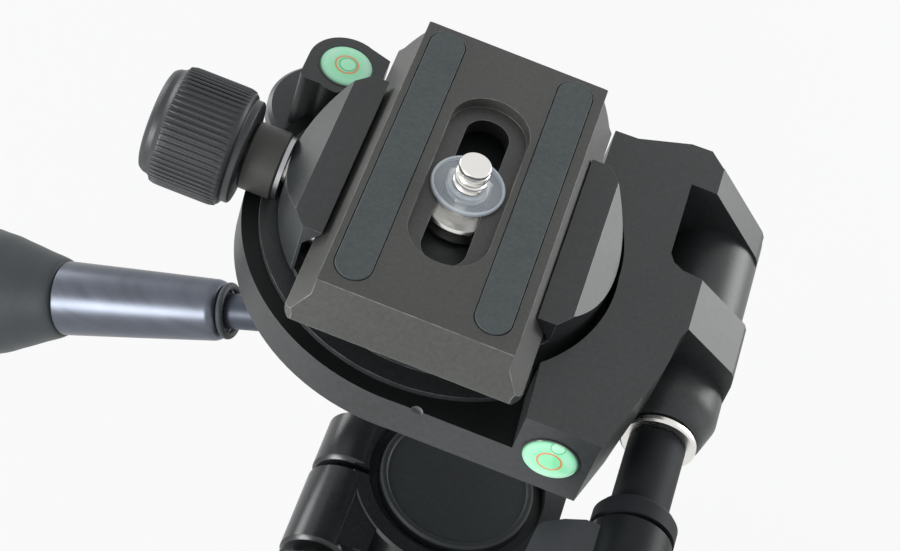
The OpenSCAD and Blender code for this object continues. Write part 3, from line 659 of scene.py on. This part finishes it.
def level_material(name, centre, normal_axis, bubble_at, bubble_r):
    """Pale green liquid with painted shade at its rim, streaks of painted reflection and a painted glow, an
    orange target ring and the bubble, all from distances in the face's plane.
    """
    f = Finish(name)
    scale = [1.0, 1.0, 1.0]
    scale[normal_axis] = 0.0
    flat = f.coords(scale=tuple(scale), location=tuple(-c * k for c, k in zip(centre, scale)))

    def band(value, low, high):
        return (value > low) * (value < high)

    reach = f.length_mm(flat)
    away = f.length_mm(f.node("ShaderNodeVectorMath", {"operation": "SUBTRACT"}, {0: flat, 1: bubble_at}))
    # pale streaks across the liquid are painted reflection
    smear_and_reflection = f.clamped((f.noise(f.coords(scale=(1.0, 0.35, 1.0)), 330.0) - 0.5) * 4.0)
    # the liquid darkens to near black at its rim: painted shade
    liquid_and_rim_shade = f.node("ShaderNodeValToRGB", {"stops": [
        (0.0, rgb(0.2, 0.62, 0.33)), (0.45, rgb(0.22, 0.66, 0.36)), (0.8, rgb(0.3, 0.68, 0.44)),
        (0.93, rgb(0.22, 0.55, 0.34)), (1.0, rgb(0.03, 0.12, 0.05))]}, {"Fac": reach / VIAL_R})
    painted = f.mix(smear_and_reflection * band(reach, 2.7, 4.9) * 0.55, liquid_and_rim_shade, rgb(0.5, 0.62, 0.56))
    painted = f.mix(band(away, bubble_r * 0.8, bubble_r) * 0.7, painted, rgb(0.1, 0.36, 0.18))
    painted = f.mix((away < bubble_r * 0.8) * 0.25, painted, rgb(0.6, 0.9, 0.7))
    painted = f.mix(band(reach, 2.1, 2.5) * 0.9, painted, rgb(0.62, 0.16, 0.05))
    # the liquid glows with its own colour, as painted light
    return f.surface({"Base Color": painted, "Roughness": 0.05 + f.noise(f.coords(), 90.0, 1.0) * 0.04,
                      "Coat Weight": 0.6, "Coat Roughness": 0.02, "Emission Color": painted,
                      "Emission Strength": 0.3})


def level_glass(name, node, axis, bubble_at, bubble_r):
    """A low glass dome on the node's open face, which looks along axis."""
    mid, low, high = box_of(node)
    normal_axis = max(range(3), key=lambda k: abs(axis[k]))
    face = mid.copy()
    face[normal_axis] = high[normal_axis] if axis[normal_axis] > 0 else low[normal_axis]
    material = level_material(name + "_liquid", mid, normal_axis, bubble_at, bubble_r)
    dome = lathe(name, [(0, -5.3), (VIAL_R - 0.02, -5.3), (VIAL_R - 0.02, -0.25), (5.1, -0.08), (4.4, 0.048),
                        (3.2, 0.18), (1.8, 0.264), (0.7, 0.3), (0, 0.3)], aimed(axis, face), 72)
    piece(name, dome, material, node)


# the top level is centred; the front level stands on edge, so its bubble has risen to the top
level_glass("level_top_glass", "level_top_vial", (0, 0, 1), (0.2 * MM, 0.1 * MM, 0.0), 1.9)
level_glass("level_front_glass", "level_front_vial", (0, -1, 0), (0.5 * MM, 0.0, 4.3 * MM), 1.5)

# ---------------------------------------------------------------- edges broken on the main metal pieces
# painted shade goes on the deck's floor and where its side rises, on the plate's slot below its step and on
# the side lever's round boss;
# a painted highlight goes in the index notch in the deck's front rim
DECK_Z, RAISED_SIDE_X = 100, 25
SLOT_HALF_W, SLOT_HALF_L, SLOT_STEP_Z = 4.6, 21, 117.4
LEVER_BOSS_Z, LEVER_BOSS_X = 95.1, 23.5
NOTCH_X, NOTCH_R, FRONT_RIM_Y = -14.7, 1.25, -39


# painted shade on the deck's floor
def deck_floor(at, facing):
    return abs(at.z - DECK_Z) < 0.05 and facing.z > 0.999 and at.x < RAISED_SIDE_X


# painted shade on the walls of the plate's slot below its step
def slot_wall(at, facing):
    return (abs(at.x - SCREW_X) < SLOT_HALF_W and abs(at.y) < SLOT_HALF_L and at.z < SLOT_STEP_Z
            and abs(facing.z) < 0.5)


def lever_boss(at, facing):
    """The side lever's round boss, above and beside its flat satin wing, which gets painted shade."""
    return at.z > LEVER_BOSS_Z or at.x > LEVER_BOSS_X


def index_notch(at):
    """The half hole in the deck's front edge, given bare bright metal as a painted highlight."""
    return (abs(at.x - NOTCH_X) < NOTCH_R and at.y < FRONT_RIM_Y
            and DECK_Z - 0.9 < at.z < DECK_Z - 0.01)


# faces that get painted shade, and faces that get a painted highlight
PAINTED_SHADE_FACES = {"platform": deck_floor, "quick_release_plate": slot_wall, "side_lever": lever_boss}
GLINTS = {"platform": index_notch}
# widths of the broken edges, and how many faces go round each
EDGES = {"platform": (0.5, 3), "clamp_base": (0.35, 2), "moving_jaw": (0.4, 2),
         "quick_release_plate": (0.4, 2), "pan_housing": (0.4, 2), "tilt_housing": (0.5, 3),
         "side_lever": (0.9, 3), "clamp_bush": (0.3, 2), "handle_locknut": (0.3, 2), "tilt_arm": (0.5, 3)}
for node_name, (edge_width, edge_faces) in EDGES.items():
    bevelled(node_name, edge_width, edge_faces, PAINTED_SHADE_FACES.get(node_name), GLINTS.get(node_name))

# the rubber strips lie in a fine open groove
GROOVE_W = 0.3
for node_name in ("rubber_strip_left", "rubber_strip_right"):
    strip = bevelled(node_name, 0.2, 3)
    mid, low, high = box_of(node_name)
    for vert in strip.data.vertices:
        for k in (0, 1):
            vert.co[k] = mid[k] + (vert.co[k] - mid[k]) * (1 - GROOVE_W * MM / (high[k] - low[k]))


# ---------------------------------------------------------------- studio
def stage_material(name, seen, lit):
    """White to the camera, to mirrors and through glass, and an ordinary pale floor to light."""
    f = Finish(name)
    direct = f.direct_view()
    plain = f.node("ShaderNodeBsdfDiffuse", values={"Color": rgb(lit, lit, lit)})
    glow = f.node("ShaderNodeEmission", values={"Color": rgb(seen, seen, seen), "Strength": 1.0})
    mixed = f.node("ShaderNodeMixShader", values={"Fac": (direct > 0.5) * 0.9, 1: plain, 2: glow})
    f.node("ShaderNodeOutputMaterial", values={"Surface": mixed})
    return f.material


# the floor lies below the handle's end at every pose of the tilt; the head stands over it on a plinth
FLOOR_Z, FLOOR_HALF_L = -100, 4000
PLINTH_R, PLINTH_TOP_Z = 19, -0.3
PALE = 0.8


def stage_piece(name, mesh, seen):
    mesh.materials.append(stage_material(name + "_white", seen, PALE))
    in_scene(name, mesh)


floor_mesh = bpy.data.meshes.new("floor")
corners = [(x * FLOOR_HALF_L * MM, y * FLOOR_HALF_L * MM, FLOOR_Z * MM)
           for x, y in ((-1, -1), (1, -1), (1, 1), (-1, 1))]
floor_mesh.from_pydata(corners, [], [(0, 1, 2, 3)])
stage_piece("floor", floor_mesh, 0.97)
stage_piece("plinth", lathe("plinth", [(0, FLOOR_Z), (PLINTH_R, FLOOR_Z), (PLINTH_R, PLINTH_TOP_Z),
                                       (0, PLINTH_TOP_Z)], Matrix.Identity(4)), 0.9)

world = bpy.data.worlds.new("studio")
bpy.context.scene.world = world
world.use_nodes = True
sky = Finish("studio", world.node_tree)
sky.tree.nodes.clear()
seen_directly = sky.direct_view()
dim = sky.node("ShaderNodeBackground", values={"Color": rgb(0.93, 0.96, 1.0), "Strength": 0.55})
white = sky.node("ShaderNodeBackground", values={"Color": rgb(1, 1, 1), "Strength": 0.95})
both = sky.node("ShaderNodeMixShader", values={"Fac": seen_directly > 0.5, 1: dim, 2: white})
sky.node("ShaderNodeOutputWorld", values={"Surface": both})

# the point inside the head that the lamps face, in metres
AIM = Vector((-0.01, 0, 0.09))


def softbox(name, direction, distance, size, power):
    """A rectangular lamp that stands off from the head in a direction; metres and watts."""
    lamp = bpy.data.lights.new(name, "AREA")
    lamp.shape = "RECTANGLE"
    lamp.size, lamp.size_y = size
    lamp.energy = power
    stand = in_scene(name, lamp)
    stand.location = AIM + distance * Vector(direction)
    stand.rotation_euler = (AIM - stand.location).to_track_quat("-Z", "Y").to_euler()


softbox("right_far_box", (0.74, 0.63, 0.22), 0.95, (0.5, 0.5), 4.7)
softbox("left_far_box", (-0.88, 0.46, 0.1), 0.95, (0.4, 0.35), 2.5)
softbox("left_near_fill", (-0.62, -0.77, 0.12), 0.9, (0.4, 0.35), 7)

# ---------------------------------------------------------------- camera at the photo's angle
DOWN, ROLL = math.radians(49.7), math.radians(21.4)
# the camera's place in metres, and its focal length in pixels of the photo's frame
EYE = (-0.01875, -0.2872, 0.4304)
FRAME_PX, FOCAL_PX, SENSOR = 900, 2244, 36.0
ahead = Vector((0.0017, math.cos(DOWN), -math.sin(DOWN))).normalized()
right = ahead.cross(Vector((0, 0, 1))).normalized()
up = right.cross(ahead)
cam_x = right * math.cos(ROLL) + up * math.sin(ROLL)
cam_y = up * math.cos(ROLL) - right * math.sin(ROLL)
camera_data = bpy.data.cameras.new("camera")
camera_data.sensor_width = SENSOR
camera_data.lens = FOCAL_PX / FRAME_PX * SENSOR
camera_data.clip_start, camera_data.clip_end = 0.02, 20
camera = in_scene("camera", camera_data)
camera.matrix_world = Matrix.Translation(EYE) @ Matrix((cam_x, cam_y, -ahead)).transposed().to_4x4()
bpy.context.scene.camera = camera
bpy.context.scene.view_settings.view_transform = "Standard"
